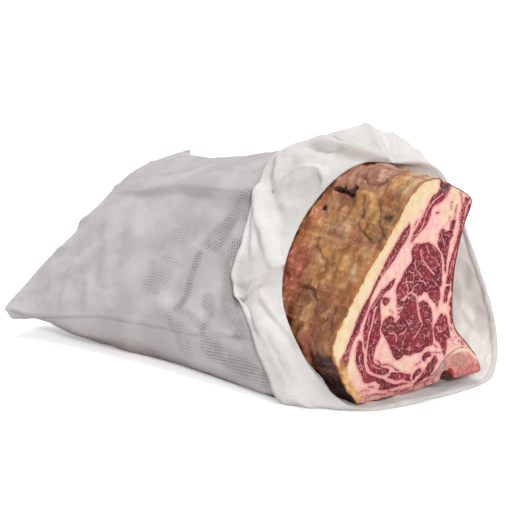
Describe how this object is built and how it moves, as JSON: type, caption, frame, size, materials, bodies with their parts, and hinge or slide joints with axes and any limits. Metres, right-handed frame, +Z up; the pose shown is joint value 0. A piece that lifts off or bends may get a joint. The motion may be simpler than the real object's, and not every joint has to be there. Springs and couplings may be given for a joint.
{
  "type": "raw beef rib roast in a cloth bag",
  "caption": "Raw bone-in beef rib roast with a crusted fat cap, standing on its chine bone in a white cloth bag with a folded-out cuff, the cut face showing at the bag's mouth.",
  "frame": {"origin": "centre of the underside of the bag's bounding box, on the surface the bag lies on", "axes": "+Z up, +Y from the bag's open mouth and the cut face back to its closed end, -X towards the crusted fat side"},
  "size_m": [0.4573, 0.6849, 0.321],
  "materials": {
    "meat": "moist raw meat, dark red lean with cream and pink fat",
    "fat": "cream fat inside, dry brown wrinkled crust outside",
    "bone": "sawn bone with a pink spongy middle",
    "cloth": "plain woven unbleached white cotton, open weave, overlocked seams"
  },
  "bodies": {
    "root": {"rib_meat": "meat", "fat_cap": "fat", "chine_bone": "bone", "cloth_bag": "cloth"}
  },
  "joints": []
}
